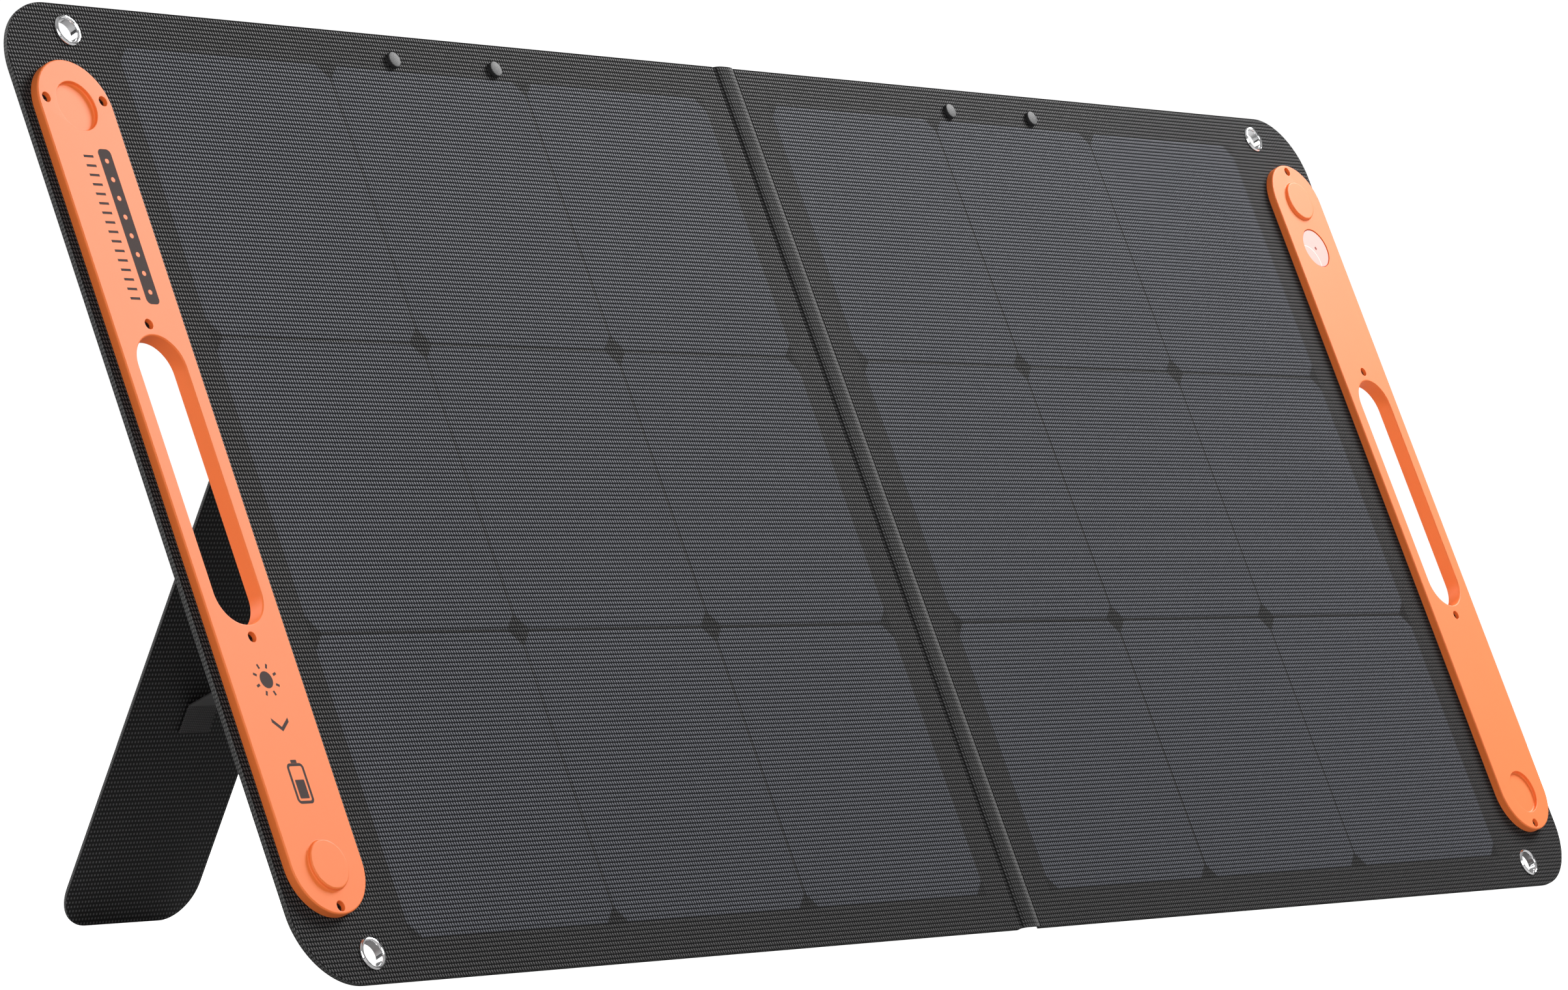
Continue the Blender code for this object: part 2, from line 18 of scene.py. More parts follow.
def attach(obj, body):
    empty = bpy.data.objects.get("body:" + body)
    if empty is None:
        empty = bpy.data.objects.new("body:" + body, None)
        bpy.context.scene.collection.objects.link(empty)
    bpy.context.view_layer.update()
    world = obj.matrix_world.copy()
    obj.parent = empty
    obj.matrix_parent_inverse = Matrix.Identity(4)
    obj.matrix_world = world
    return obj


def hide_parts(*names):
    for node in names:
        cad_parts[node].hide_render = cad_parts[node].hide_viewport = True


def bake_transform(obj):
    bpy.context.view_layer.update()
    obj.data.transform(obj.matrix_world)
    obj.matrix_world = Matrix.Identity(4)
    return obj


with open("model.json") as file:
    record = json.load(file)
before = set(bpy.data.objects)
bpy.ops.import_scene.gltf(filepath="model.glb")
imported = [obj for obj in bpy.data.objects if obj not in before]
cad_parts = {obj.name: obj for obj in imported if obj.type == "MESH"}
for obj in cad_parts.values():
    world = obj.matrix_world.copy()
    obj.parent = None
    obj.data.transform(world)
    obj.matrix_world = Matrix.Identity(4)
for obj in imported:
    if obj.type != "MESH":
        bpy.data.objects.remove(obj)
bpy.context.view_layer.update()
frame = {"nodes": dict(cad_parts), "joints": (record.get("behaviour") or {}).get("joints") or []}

SIDES = (("left", -1), ("right", 1))

# Panel
CORNER_RADIUS = 0.040
SHEET_THICKNESS = 0.0008
SHEET_ROLL = 0.00035
BOARD_ROLL = 0.0009

# Cells under the sheet, three by three in each half
CELL_PITCH = 0.1652
CELL_HALF = 0.0819
CELL_CUT = 0.0080
CELL_FIELD_U = 0.2788
CELL_FIELD_V = 0.2690
CELL_RISE = 0.00012

# Woven look of the sheet
WEAVE_U = 0.00201
WEAVE_V = 0.00238
WEAVE_SLANT = 0.30

# Openings through a half, by radius, and the play round what goes through or lies on it
EYELET_OPENING = 0.0080
RIVET_OPENING = 0.0023
SCREW_OPENING = 0.0017
PLAY = 0.0003

# Handles
HANDLE_U = 0.5768
HANDLE_V = 0.2690
HANDLE_SIZE = (0.0535, 0.4675)
HANDLE_BASE = 0.0002
HANDLE_FACE = 0.0052
HANDLE_ROUND = 0.0009
SLOT_SIZE = (0.0345, 0.158)
COLLAR_WALL = 0.002
COLLAR_END = -0.0042
RECESS_RADIUS = 0.0138
RECESS_FLOOR = 0.0031
BOSS_RADIUS = 0.0133
BOSS_FACE = 0.0071
CLOSURE_LOW_V = 0.0610
CLOSURE_HIGH_V = 0.4765
SCREW_WELL = 0.0028
SCREW_SEAT = 0.0024
DIAL_V = 0.4430
DIAL_RADIUS = 0.0135
DIAL_FLOOR = 0.0014

# Printed marks on the left handle
SUN_V = 0.160
CHEVRON_V = 0.1335
BATTERY_V = 0.1045
SCALE_V = 0.409
SCALE_U = -0.5807
SCALE_STEP = 0.0053
BAR_U = -0.5680
BAR_STEP = 0.0105

# Kickstands, with their hinge tapes and straps
KICK_ROUND = 0.0006
KICK_FOOT_RADIUS = 0.024
TAPE_THICKNESS = 0.0008
STRAP_THICKNESS = 0.0010
STRAP_BEND = 0.0006
STRAP_FOOT = 0.4002
STRAP_LENGTHS = 13

# Fold strip
STRIP_THICKNESS = 0.0009

# Light of the room, at the floor and overhead, and of the backdrop behind the object
AMBIENT_LOW = 0.06
AMBIENT_HIGH = 0.42
BACKDROP = 1.05


# ---------------------------------------------------------------- places in the frame

JOINTS = {joint["name"]: joint for joint in frame["joints"]}
U_AXIS = Vector((1, 0, 0))
V_AXIS = -Vector(JOINTS["spine_fold"]["axis"]).normalized()
W_AXIS = U_AXIS.cross(V_AXIS)


def box_in(place, *nodes):
    """The lowest and highest corners of CAD nodes along the axes of a frame."""
    back = place.inverted()
    points = [back @ point.co for node in nodes for point in frame["nodes"][node].data.vertices]
    low = [min(point[axis] for point in points) for axis in range(3)]
    high = [max(point[axis] for point in points) for axis in range(3)]
    return Vector(low), Vector(high)


def panel_frame():
    """The panel's axes, with v = 0 at the lower edge and w = 0 on the front sheet."""
    axes = Matrix((U_AXIS, V_AXIS, W_AXIS)).transposed().to_4x4()
    low, high = box_in(axes, "left_front_sheet", "right_front_sheet")
    return axes @ Matrix.Translation((0, low.y, high.z))


PANEL = panel_frame()
PANEL_LOW, PANEL_HIGH = box_in(PANEL, "left_board", "right_board")
PANEL_BACK = PANEL_LOW.z
PANEL_HEIGHT = PANEL_HIGH.y
HALF_OUTER = PANEL_HIGH.x
HALF_INNER = box_in(PANEL, "right_board")[0].x


def kick_frame(label):
    """A kickstand's axes: its hinge line is y = 0, its foot lies towards -y, and +z faces the panel."""
    hinge = JOINTS[f"{label}_kickstand_hinge"]
    turn = Matrix.Rotation(math.radians(hinge["range_deg"][1]), 4, "X")
    return Matrix.Translation(hinge["pos_m"]) @ PANEL.to_3x3().to_4x4() @ turn


# ---------------------------------------------------------------- camera, floor and light

def add_camera():
    """A long lens from the front left, a little under half the panel's height."""
    data = bpy.data.cameras.new("camera")
    data.sensor_width = 36
    data.lens = 147.019
    camera = bpy.data.objects.new("camera", data)
    bpy.context.collection.objects.link(camera)
    camera.location = (-2.955314, -2.275975, 0.219577)
    camera.rotation_euler = (math.radians(90.39134), math.radians(-0.0085), math.radians(-53.03597))
    bpy.context.scene.camera = camera


def add_area(name, towards, distance, size, power):
    """A soft box that faces the middle of the panel."""
    data = bpy.data.lights.new(name, "AREA")
    data.shape = "RECTANGLE"
    data.size, data.size_y = size
    data.energy = power
    light = bpy.data.objects.new(name, data)
    bpy.context.collection.objects.link(light)
    middle = PANEL @ Vector((0, PANEL_HEIGHT / 2, 0))
    direction = Vector(towards).normalized()
    light.location = middle + direction * distance
    light.rotation_euler = direction.to_track_quat("Z", "Y").to_euler()


def add_world():
    """White behind the object, and a dim room that is lighter overhead around it."""
    world = bpy.data.worlds.new("studio")
    bpy.context.scene.world = world
    world.use_nodes = True
    nodes, links = world.node_tree.nodes, world.node_tree.links
    backdrop = nodes["Background"]
    direction = nodes.new("ShaderNodeTexCoord")
    parts = nodes.new("ShaderNodeSeparateXYZ")
    room = nodes.new("ShaderNodeMapRange")
    room.inputs["To Min"].default_value = AMBIENT_LOW
    room.inputs["To Max"].default_value = AMBIENT_HIGH
    path = nodes.new("ShaderNodeLightPath")
    strength = nodes.new("ShaderNodeMapRange")
    strength.inputs["To Max"].default_value = BACKDROP
    links.new(direction.outputs["Generated"], parts.inputs["Vector"])
    links.new(parts.outputs["Z"], room.inputs["Value"])
    links.new(room.outputs["Result"], strength.inputs["To Min"])
    links.new(path.outputs["Is Camera Ray"], strength.inputs["Value"])
    links.new(strength.outputs["Result"], backdrop.inputs["Strength"])
    backdrop.inputs["Color"].default_value = (1, 1, 1, 1)


def add_floor():
    """A plain pale floor that the camera sees as white."""
    mesh = bpy.data.meshes.new("floor")
    shape = bmesh.new()
    bmesh.ops.create_circle(shape, cap_ends=True, segments=96, radius=3.2)
    shape.to_mesh(mesh)
    shape.free()
    floor = bpy.data.objects.new("floor", mesh)
    bpy.context.collection.objects.link(floor)
    paint = bpy.data.materials.new("pale_floor")
    paint.use_nodes = True
    shader = paint.node_tree.nodes["Principled BSDF"]
    shader.inputs["Base Color"].default_value = (0.45, 0.45, 0.45, 1)
    shader.inputs["Roughness"].default_value = 0.9
    shader.inputs["Emission Color"].default_value = (1, 1, 1, 1)
    path = paint.node_tree.nodes.new("ShaderNodeLightPath")
    paint.node_tree.links.new(path.outputs["Is Camera Ray"], shader.inputs["Emission Strength"])
    mesh.materials.append(paint)


add_camera()
add_area("key", (0.927, -0.248, 0.790), 3.0, (1.2, 1.2), 115)
add_area("fill", (-0.70, -0.640, 0.310), 3.5, (2.0, 2.0), 50)
add_area("back", (-0.45, 0.75, 0.50), 3.5, (2.0, 2.0), 60)
add_world()
add_floor()
bpy.context.scene.view_settings.view_transform = "Standard"


# ---------------------------------------------------------------- materials as arithmetic

class Field:
    """A value that varies over a surface. Arithmetic on it adds shader nodes."""

    def __init__(self, paint, socket):
        self.paint = paint
        self.socket = socket

    def __add__(self, other):
        return self.paint.math("ADD", self, other)

    def __radd__(self, other):
        return self.paint.math("ADD", other, self)

    def __sub__(self, other):
        return self.paint.math("SUBTRACT", self, other)

    def __rsub__(self, other):
        return self.paint.math("SUBTRACT", other, self)

    def __mul__(self, other):
        return self.paint.math("MULTIPLY", self, other)

    def __truediv__(self, other):
        return self.paint.math("DIVIDE", self, other)

    def __abs__(self):
        return self.paint.math("ABSOLUTE", self)


SOCKETS = {"metallic": "Metallic", "sheen": "Sheen Weight", "gloss": "Specular IOR Level"}


class Paint:
    """A Principled material and the nodes that feed it."""

    def __init__(self, name, roughness, **uniform):
        self.material = bpy.data.materials.new(name)
        self.material.use_nodes = True
        self.tree = self.material.node_tree
        self.shader = self.tree.nodes["Principled BSDF"]
        self.shader.inputs["Roughness"].default_value = roughness
        for socket, value in uniform.items():
            self.shader.inputs[SOCKETS[socket]].default_value = value

    def node(self, kind, **inputs):
        made = self.tree.nodes.new("ShaderNode" + kind)
        for socket, value in inputs.items():
            self.feed(made.inputs[socket.replace("_", " ").title()], value)
        return made

    def feed(self, socket, value):
        if isinstance(value, Field):
            self.tree.links.new(value.socket, socket)
        else:
            socket.default_value = value

    def set(self, socket, value):
        self.feed(self.shader.inputs[socket], value)

    def math(self, operation, *values, clamp=False):
        made = self.tree.nodes.new("ShaderNodeMath")
        made.operation = operation
        made.use_clamp = clamp
        for socket, value in zip(made.inputs, values):
            self.feed(socket, value)
        return Field(self, made.outputs[0])

    def least(self, first, second):
        return self.math("MINIMUM", first, second)

    def most(self, first, second):
        return self.math("MAXIMUM", first, second)

    def smooth(self, value, low, high):
        """0 below low, 1 above high, and a smooth step between."""
        made = self.node("MapRange", value=value, from_min=low, from_max=high)
        made.interpolation_type = "SMOOTHSTEP"
        return Field(self, made.outputs["Result"])

    def length(self, first, second):
        return self.math("SQRT", first * first + second * second)

    def cloth(self):
        """Distances over the cloth, in metres, from the mesh's own map, together and one by one."""
        made = self.node("UVMap")
        made.uv_map = "cloth"
        vector = Field(self, made.outputs["UV"])
        parts = self.node("SeparateXYZ", vector=vector)
        return vector, Field(self, parts.outputs["X"]), Field(self, parts.outputs["Y"])

    def placed(self):
        """Places along the panel's axes, together and one by one."""
        turned = self.node("Mapping", vector=self.object_place())
        turned.vector_type = "TEXTURE"
        turned.inputs["Location"].default_value = PANEL.to_translation()
        turned.inputs["Rotation"].default_value = PANEL.to_euler()
        vector = Field(self, turned.outputs["Vector"])
        parts = self.node("SeparateXYZ", vector=vector)
        return vector, *(Field(self, parts.outputs[axis]) for axis in "XYZ")

    def object_place(self):
        """Places in the whole model, for marks that need no direction."""
        return Field(self, self.node("TexCoord").outputs["Object"])

    def noise(self, vector, scale, detail=2.0):
        made = self.node("TexNoise", vector=vector, scale=scale, detail=detail)
        return Field(self, made.outputs[0])

    def mix(self, share, first, second):
        made = self.tree.nodes.new("ShaderNodeMix")
        made.data_type = "RGBA"
        self.feed(made.inputs[0], share)
        for socket, value in ((made.inputs[6], first), (made.inputs[7], second)):
            self.feed(socket, value if isinstance(value, Field) else (*value, 1.0))
        return Field(self, made.outputs[2])

    def shade(self, color, share):
        """The colour times a grey."""
        grey = self.node("CombineColor", red=share, green=share, blue=share)
        made = self.tree.nodes.new("ShaderNodeMix")
        made.data_type = "RGBA"
        made.blend_type = "MULTIPLY"
        made.inputs[0].default_value = 1.0
        self.feed(made.inputs[6], color)
        self.feed(made.inputs[7], Field(self, grey.outputs[0]))
        return Field(self, made.outputs[2])

    def bump(self, height, distance):
        made = self.node("Bump", height=height, distance=distance)
        self.set("Normal", Field(self, made.outputs["Normal"]))


def weave(paint, u, v, pitch_u=WEAVE_U, pitch_v=WEAVE_V, slant=WEAVE_SLANT, wide=0.37, tall=0.45):
    """1 on the crown of each slanted raised thread and 0 between threads, which stand in an aligned grid."""
    up = paint.math("FRACT", v / pitch_v) - 0.5
    across = paint.math("FRACT", u / pitch_u + up * slant) - 0.5
    away = (across * across) / wide**2 + paint.math("POWER", abs(up) / tall, 2.6)
    return paint.math("SUBTRACT", 1.0, away, clamp=True)


def cell_pattern(paint, u, v):
    """Shares of cells, dark lines between rows, faint lines between columns, and diamonds at corners."""
    across = (abs(u) - CELL_FIELD_U) / CELL_PITCH
    up = (v - CELL_FIELD_V) / CELL_PITCH
    column = paint.math("ROUND", paint.least(paint.most(across, -1.0), 1.0))
    row = paint.math("ROUND", paint.least(paint.most(up, -1.0), 1.0))
    off_u = abs(across - column) * CELL_PITCH
    off_v = abs(up - row) * CELL_PITCH
    corner = (2 * CELL_HALF - CELL_CUT - (off_u + off_v)) / math.sqrt(2)
    inside = paint.least(paint.least(CELL_HALF - off_u, CELL_HALF - off_v), corner)
    reach = 1.5 * CELL_PITCH
    field = paint.least(reach - abs(across) * CELL_PITCH, reach - abs(up) * CELL_PITCH)
    between_rows = paint.smooth(off_v, CELL_HALF - 0.0006, CELL_HALF + 0.0003)
    between_columns = paint.smooth(off_u, CELL_HALF - 0.0004, CELL_HALF + 0.0004)
    at_corner = 1 - paint.smooth(corner, -0.0005, 0.0005)
    in_field = paint.smooth(field, -0.0008, 0.0008)
    cell = paint.smooth(inside, -0.0005, 0.0005)
    return cell, between_rows * in_field, between_columns * in_field, at_corner * in_field


def front_sheet_paint():
    """A satin printed laminate: raised slanted threads over black, blue-grey where a cell lies under it."""
    paint = Paint("woven_sheet", roughness=0.5, gloss=0.12)
    cloth, u, v = paint.cloth()
    thread = weave(paint, u, v)
    cell, row_line, column_line, diamond = cell_pattern(paint, u, v)
    crown = paint.mix(cell, (0.064, 0.062, 0.063), (0.120, 0.124, 0.143))
    ground = paint.mix(cell, (0.0030, 0.0030, 0.0032), (0.0050, 0.0055, 0.0072))
    color = paint.mix(paint.smooth(thread, 0.0, 0.7), ground, crown)
    cloudy = paint.noise(cloth, 9.0, 3.0)
    dim = (0.93 + cloudy * 0.14) * (1 - row_line * 0.42) * (1 - column_line * 0.10) * (1 - diamond * 0.34)
    paint.set("Base Color", paint.shade(color, dim))
    paint.set("Roughness", 0.94 + paint.noise(cloth, 30.0) * 0.04 - thread * 0.55)
    paint.bump(thread, 0.00016)
    return paint.material


def threaded_paint(name, threads, ground, crown, patches, swing, depth, **uniform):
    """Cloth with raised threads that are paler than the ground between them.

    Threads are what weave() takes. Patches are the scale and detail of the wear, and swing is its strength.
    """
    paint = Paint(name, **uniform)
    cloth, u, v = paint.cloth()
    thread = weave(paint, u, v, *threads)
    wear = paint.noise(cloth, *patches)
    paint.set("Base Color", paint.shade(paint.mix(thread, ground, crown), 1 - swing / 2 + wear * swing))
    paint.bump(thread, depth)
    return paint.material


def binding_paint():
    """The smooth woven tape round the edge of a kickstand."""
    paint = Paint("kickstand_binding", roughness=0.7)
    cloth, run = paint.cloth()[:2]
    rib = abs(paint.math("FRACT", run / 0.0011) - 0.5) * 2
    cloudy = paint.noise(cloth, 80.0)
    color = paint.mix(rib, (0.040, 0.040, 0.041), (0.130, 0.130, 0.131))
    paint.set("Base Color", paint.shade(color, 0.7 + cloudy * 0.6))
    paint.bump(rib, 0.00015)
    return paint.material


def strip_paint():
    """The fold strip: the sheet's woven look in neutral black, with a painted highlight that makes it paler
    towards its right shoulder, which faces the key light.
    """
    paint = Paint("woven_strip", roughness=0.7, gloss=0.16)
    cloth, u, v = paint.cloth()
    thread = weave(paint, u, v)
    # Painted highlight: ground and crown grow paler from the crest out to the right shoulder, where the key
    # light falls.
    painted_highlight = paint.smooth(u, 0.0005, 0.0085)
    ground = paint.mix(painted_highlight, (0.003, 0.003, 0.003), (0.050, 0.049, 0.049))
    crown = paint.mix(painted_highlight, (0.050, 0.049, 0.050), (0.180, 0.178, 0.178))
    color = paint.mix(paint.smooth(thread, 0.0, 0.75), ground, crown)
    paint.set("Roughness", 0.90 - thread * 0.36)
    paint.set("Base Color", paint.shade(color, 0.85 + paint.noise(cloth, 40.0) * 0.3))
    paint.bump(thread, 0.00016)
    return paint.material


def rounded_box(paint, u, v, centre, half, radius):
    """Signed distance to a rounded rectangle, below zero inside it."""
    off_u = paint.most(abs(u - centre[0]) - (half[0] - radius), 0.0)
    off_v = paint.most(abs(v - centre[1]) - (half[1] - radius), 0.0)
    return paint.length(off_u, off_v) - radius


def printed_marks(paint, u, v, w):
    """Share of dark ink on the left handle's face: sun, chevron, battery, scale and dotted bar."""
    middle_u = u + HANDLE_U
    away = paint.length(middle_u, v - SUN_V)
    ray_angle = math.radians(45)
    turn = paint.math("ARCTAN2", v - SUN_V, middle_u) / ray_angle
    from_ray = abs(paint.math("FRACT", turn) - 0.5) * ray_angle * away
    ray = paint.most(from_ray - 0.0007, abs(away - 0.0078) - 0.0013)
    sun = paint.least(away - 0.0046, ray)

    chevron = abs(v - CHEVRON_V - abs(middle_u) * 0.8) - 0.0012
    chevron = paint.most(chevron, abs(middle_u) - 0.0062)

    shell = rounded_box(paint, u, v, (-HANDLE_U, BATTERY_V), (0.0054, 0.0100), 0.0020)
    charge = rounded_box(paint, u, v, (-HANDLE_U, BATTERY_V - 0.0030), (0.0034, 0.0050), 0.0006)
    knob = rounded_box(paint, u, v, (-HANDLE_U, BATTERY_V + 0.0117), (0.0022, 0.0009), 0.0004)
    battery = paint.least(abs(shell) - 0.0008, paint.least(charge, knob))

    tick = abs(paint.math("FRACT", v / SCALE_STEP) - 0.5) * SCALE_STEP
    tick = paint.most(tick - 0.0007, abs(u - SCALE_U) - 0.0036)
    scale = paint.most(tick, abs(v - SCALE_V) - 0.042)

    bar = rounded_box(paint, u, v, (BAR_U, SCALE_V), (0.0048, 0.0435), 0.0030)
    along = (paint.math("FRACT", (v - SCALE_V) / BAR_STEP) - 0.5) * BAR_STEP
    dot = paint.most(paint.length(u - BAR_U, along) - 0.0014, abs(v - SCALE_V) - 0.0380)
    bar = paint.most(bar, 0.0 - dot)

    marks = sun
    for mark in (chevron, battery, scale, bar):
        marks = paint.least(marks, mark)
    on_face = paint.smooth(w, HANDLE_FACE - 0.0006, HANDLE_FACE - 0.0004)
    return paint.smooth(marks, 0.00015, -0.00015) * on_face


def orange_paint():
    """Moulded orange plastic with a fine spark-eroded grain and dark printed marks."""
    paint = Paint("grained_orange", roughness=0.55, gloss=0.45)
    where, u, v, w = paint.placed()
    grain = paint.noise(where, 2600.0)
    cloudy = paint.noise(where, 14.0, 3.0)
    color = paint.mix(cloudy, (0.935, 0.190, 0.034), (0.955, 0.210, 0.042))
    ink = printed_marks(paint, u, v, w)
    paint.set("Base Color", paint.mix(ink, color, (0.060, 0.040, 0.037)))
    paint.set("Roughness", 0.52 + grain * 0.08 + ink * 0.35)
    paint.bump(grain, 0.000006)
    return paint.material


def metal_paint(name, color, roughness, scratch=0.10):
    """Bare or plated metal with fine uneven marks."""
    paint = Paint(name, metallic=1.0, roughness=roughness)
    where = paint.object_place()
    marks = paint.noise(where, 900.0, 4.0)
    paint.set("Base Color", paint.shade((*color, 1.0), 0.9 + marks * 0.2))
    paint.set("Roughness", roughness - scratch / 2 + marks * scratch)
    return paint.material


def plastic_paint(name, color, roughness, grain_depth=0.00003, **uniform):
    """Moulded plastic with a light grain and slight unevenness."""
    paint = Paint(name, roughness=roughness, **uniform)
    where = paint.object_place()
    grain = paint.noise(where, 1500.0, 3.0)
    cloudy = paint.noise(where, 25.0, 3.0)
    paint.set("Base Color", paint.shade((*color, 1.0), 0.92 + cloudy * 0.16))
    paint.set("Roughness", roughness - 0.05 + grain * 0.1)
    paint.bump(grain, grain_depth)
    return paint.material


def lens_paint():
    """The dial's white frosted face, painted pink as painted light from the orange handle shining through it,
    with one fine pale ring of its target line.
    """
    paint = Paint("dial_lens", roughness=0.30)
    where, u, v = paint.placed()[:3]
    ring = abs(paint.length(u - HANDLE_U + 0.0125, v - DIAL_V + 0.0105) - 0.0120) - 0.00025
    cloudy = paint.noise(where, 40.0)
    # Painted light: the pink stands in for orange light from the handle that shines through the white frosted
    # disc.
    pink = paint.mix(cloudy, (0.86, 0.40, 0.36), (0.90, 0.44, 0.40))
    paint.set("Base Color", paint.mix(paint.smooth(ring, 0.0001, -0.0001), pink, (0.98, 0.80, 0.76)))
    return paint.material


def wafer_paint():
    """A blue-black wafer with silver busbars and fine fingers."""
    paint = Paint("silicon_wafer", roughness=0.25)
    where, u, v = paint.placed()[:3]
    bar = paint.smooth(abs(paint.math("FRACT", u / (CELL_PITCH / 9)) - 0.5), 0.045, 0.035)
    finger = paint.smooth(abs(paint.math("FRACT", v / 0.0016) - 0.5), 0.06, 0.04)
    metal = paint.most(bar, finger * 0.5)
    blue = paint.mix(paint.noise(where, 60.0, 4.0), (0.010, 0.016, 0.045), (0.016, 0.026, 0.070))
    paint.set("Base Color", paint.mix(metal, blue, (0.55, 0.55, 0.56)))
    paint.set("Metallic", metal * 0.8)
    return paint.material


SHEET = front_sheet_paint()
EDGE = threaded_paint(
    "laminate_edge", (0.0022, 0.0011, 0.6, 0.40, 0.46), (0.014, 0.014, 0.014), (0.150, 0.149, 0.148),
    patches=(60.0, 3.0), swing=0.4, depth=0.0002, roughness=0.6, gloss=0.3,
)
BACK = threaded_paint(
    "laminate_back", (0.0013, 0.0013, 0.0, 0.46, 0.46), (0.010, 0.010, 0.011), (0.040, 0.040, 0.042),
    patches=(7.0, 4.0), swing=0.4, depth=0.00012, roughness=0.72, sheen=0.15,
)
KICK = threaded_paint(
    "stitched_kickstand", (0.0026, 0.0028, 0.25, 0.30, 0.34), (0.010, 0.010, 0.0105), (0.170, 0.170, 0.174),
    patches=(12.0, 3.0), swing=0.5, depth=0.00015, roughness=0.62, gloss=0.4,
)
BINDING = binding_paint()
STRIP = strip_paint()
ORANGE = orange_paint()
CHROME = metal_paint("plated_brass", (0.86, 0.86, 0.87), 0.11, 0.04)
DARK_METAL = metal_paint("dark_plate", (0.16, 0.16, 0.165), 0.38)
POST = plastic_paint("blackened_post", (0.026, 0.026, 0.027), 0.46, 0.000002, gloss=0.15)
STEEL = metal_paint("screw_metal", (0.045, 0.043, 0.042), 0.45)
WEBBING = threaded_paint(
    "ribbed_webbing", (0.0016, 0.0011, 0.0, 0.48, 0.45), (0.018, 0.018, 0.019), (0.110, 0.110, 0.112),
    patches=(90.0, 2.0), swing=0.4, depth=0.0002, roughness=0.75, sheen=0.2,
)
BLACK = plastic_paint("moulded_black", (0.022, 0.022, 0.024), 0.5)
# The dial target is near-black as painted shade, so that the sighting hole in the lens reads dark.
DIAL = plastic_paint("dial_target", (0.030, 0.030, 0.036), 0.45, 0.00001)
LENS = lens_paint()
WAFER = wafer_paint()


# ---------------------------------------------------------------- outlines and meshes

Rim = collections.namedtuple("Rim", "points profile end")


def arc(centre, radius, start, end, steps):
    """Points on an arc, in degrees, both ends included."""
    angles = [math.radians(start + (end - start) * step / steps) for step in range(steps + 1)]
    return [Vector((centre[0] + radius * math.cos(a), centre[1] + radius * math.sin(a))) for a in angles]


def circle(centre, radius, steps=48):
    return arc(centre, radius, 0, 360 - 360 / steps, steps - 1)


def stadium(centre, size, steps=28):
    """An upright slot outline with half-round ends."""
    radius = size[0] / 2
    straight = size[1] / 2 - radius
    top = arc((centre[0], centre[1] + straight), radius, 0, 180, steps)
    return top + arc((centre[0], centre[1] - straight), radius, 180, 360, steps)


def cut_square(centre, half, cut):
    """A square with its corners cut off, as a wafer has."""
    long = half - cut
    points = [(long, -half), (half, -long), (half, long), (long, half)]
    points += [(-long, half), (-half, long), (-half, -long), (-long, -half)]
    return [Vector((centre[0] + x, centre[1] + y)) for x, y in points]


def bend(first, last, flat_first=True, steps=3):
    """A quarter round between two profile points. It leaves the first one level, or else upright."""
    points = []
    for step in range(steps + 1):
        angle = math.pi / 2 * step / steps
        level, upright = math.sin(angle), 1 - math.cos(angle)
        if not flat_first:
            level, upright = upright, level
        points.append((first[0] + (last[0] - first[0]) * level, first[1] + (last[1] - first[1]) * upright))
    return points


def moved_in(points, distance):
    """An outline moved into the material, which is on the left of its direction."""
    moved = []
    for before, here, after in zip(points[-1:] + points[:-1], points, points[1:] + points[:1]):
        first = (here - before).normalized()
        second = (after - here).normalized()
        along = (first + second).normalized()
        left = Vector((-along.y, along.x))
        spread = max(0.5, left.dot(Vector((-first.y, first.x))))
        moved.append(here + left * (distance / spread))
    return moved


def outside(points, profile, end="shared"):
    """A piece's outer edge."""
    return Rim(points, profile, end)


def hole(points, profile, end="shared"):
    """A hole, a well or a raised pad: its outline runs the other way round."""
    return Rim(points[::-1], profile, end)


def fill(shape, rings, facing):
    """A flat face between closed rings of points."""
    edges = []
    for ring in rings:
        for first, last in zip(ring, ring[1:] + ring[:1]):
            edges.append(shape.edges.get((first, last)) or shape.edges.new((first, last)))
    made = bmesh.ops.triangle_fill(shape, use_beauty=True, edges=edges, normal=(0, 0, facing))
    for face in made["geom"]:
        if not isinstance(face, bmesh.types.BMFace):
            continue
        face.normal_update()
        if face.normal.z * facing < 0:
            face.normal_flip()


def map_cloth(shape, runs, closing):
    """The map named cloth: u and v on level faces, and distance round the edge and w on upright ones.

    A face that closes an outline runs on to the outline's whole length, and not back to nothing.
    """
    cloth = shape.loops.layers.uv.new("cloth")
    for face in shape.faces:
        face.normal_update()
        level = abs(face.normal.z) > 0.5
        for corner in face.loops:
            place = corner.vert.co
            run = runs[corner.vert] or closing.get(face, 0)
            corner[cloth].uv = place.xy if level else (run, place.z)


def add_piece(name, shape, place, paints, body, sharp=35):
    """Puts a mesh in the scene with paints for its front, sides and back, and makes it ride on a body."""
    for face in shape.faces:
        face.normal_update()
        lean = face.normal.z
        face.material_index = 0 if lean > 0.5 else 2 if lean < -0.5 else 1
        face.smooth = True
    mesh = bpy.data.meshes.new(name)
    shape.to_mesh(mesh)
    shape.free()
    mesh.transform(place)
    for paint in paints:
        mesh.materials.append(paint)
    item = bpy.data.objects.new(name, mesh)
    bpy.context.collection.objects.link(item)
    mesh.set_sharp_from_angle(angle=math.radians(sharp))
    even = item.modifiers.new("even_normals", "WEIGHTED_NORMAL")
    even.keep_sharp = True
    if body:
        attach(item, body)
    return item


